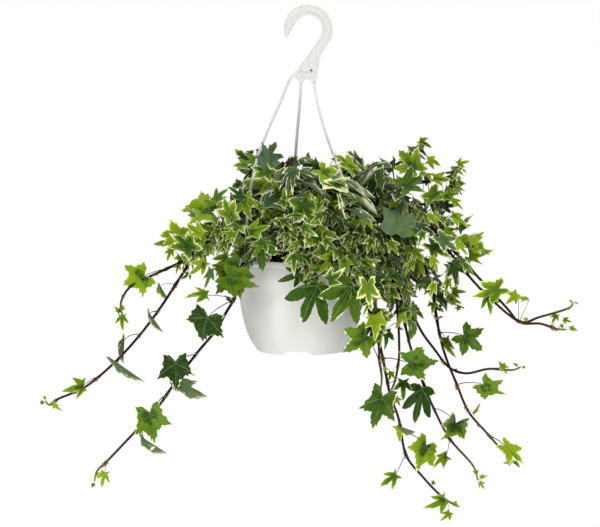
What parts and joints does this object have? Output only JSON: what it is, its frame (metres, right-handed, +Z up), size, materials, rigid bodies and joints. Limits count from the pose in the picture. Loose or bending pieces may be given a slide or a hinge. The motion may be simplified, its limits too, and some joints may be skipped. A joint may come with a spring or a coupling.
{
  "type": "potted ivy in a hanging pot",
  "caption": "Trailing variegated ivy in a round white plastic hanging pot with a one-piece hook hanger clipped to its rim; long stems hang down both sides.",
  "frame": {"origin": "the point inside the hook, at the top of its inner curve, that bears on the rail or nail holding the pot up", "axes": "+Z up along the line the pot hangs on; +X to the right as seen from the front, in the plane of the flat hook; -Y towards the viewer; the pot's axis is vertical, 10 mm left of the origin"},
  "size_m": [0.6324, 0.261, 0.6263],
  "materials": {
    "pot_plastic": "smooth injection-moulded plastic, soft sheen",
    "hanger_plastic": "smooth injection-moulded plastic, soft sheen",
    "soil": "crumbly damp potting soil",
    "foliage": "waxy leaves, green with cream edges"
  },
  "bodies": {
    "root": {"pot": "pot_plastic", "hanger": "hanger_plastic", "soil": "soil", "trail_left_long": "foliage", "trail_left_arched": "foliage", "trail_left_high": "foliage", "trail_left_front": "foliage", "trail_front_left": "foliage", "trail_front_middle": "foliage", "trail_front_right": "foliage", "trail_right_inner": "foliage", "trail_right_longest": "foliage", "trail_right_short": "foliage", "trail_right_middle": "foliage", "trail_right_outer": "foliage", "trail_right_curled": "foliage", "trail_right_behind": "foliage", "trail_right_reaching": "foliage", "trail_right_forked": "foliage", "shoot_right_high": "foliage", "shoot_right_curled": "foliage", "shoot_top": "foliage", "trail_back_right": "foliage", "trail_back_left": "foliage", "crown_stem_1": "foliage", "crown_stem_2": "foliage", "crown_stem_3": "foliage", "crown_stem_4": "foliage", "crown_stem_5": "foliage", "crown_stem_6": "foliage", "crown_stem_7": "foliage", "crown_stem_8": "foliage", "crown_stem_9": "foliage", "crown_stem_10": "foliage", "crown_stem_11": "foliage", "crown_stem_12": "foliage", "crown_stem_13": "foliage", "crown_stem_14": "foliage", "crown_stem_15": "foliage", "crown_stem_16": "foliage", "crown_stem_17": "foliage", "crown_stem_18": "foliage", "crown_stem_19": "foliage", "crown_stem_20": "foliage"}
  },
  "joints": []
}
